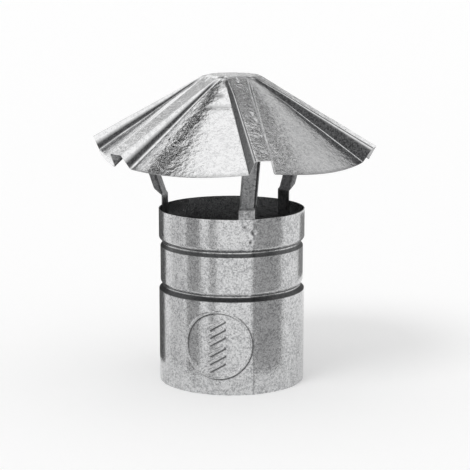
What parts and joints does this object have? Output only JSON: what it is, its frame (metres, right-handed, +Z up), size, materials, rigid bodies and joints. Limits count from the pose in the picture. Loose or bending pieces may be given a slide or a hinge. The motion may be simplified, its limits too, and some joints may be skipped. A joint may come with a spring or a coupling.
{
  "type": "chimney cap",
  "caption": "Galvanised steel flue cap: a beaded round collar, leaning straps and a pressed conical rain hat with raised radial ribs.",
  "frame": {"origin": "centre of the collar's lower rim", "axes": "+Z up along the collar's axis, from the flue towards the hat; -Y points at the front rib and the front strap"},
  "size_m": [0.2292, 0.2432, 0.2558],
  "materials": {
    "collar_steel": "hot-dip galvanised sheet, small spangle, satin",
    "hat_steel": "hot-dip galvanised sheet, small spangle, bright",
    "strap_steel": "galvanised strip, dull"
  },
  "bodies": {
    "root": {"collar": "collar_steel", "hat": "hat_steel", "strap_front": "strap_steel", "strap_right": "strap_steel", "strap_left": "strap_steel"}
  },
  "joints": []
}
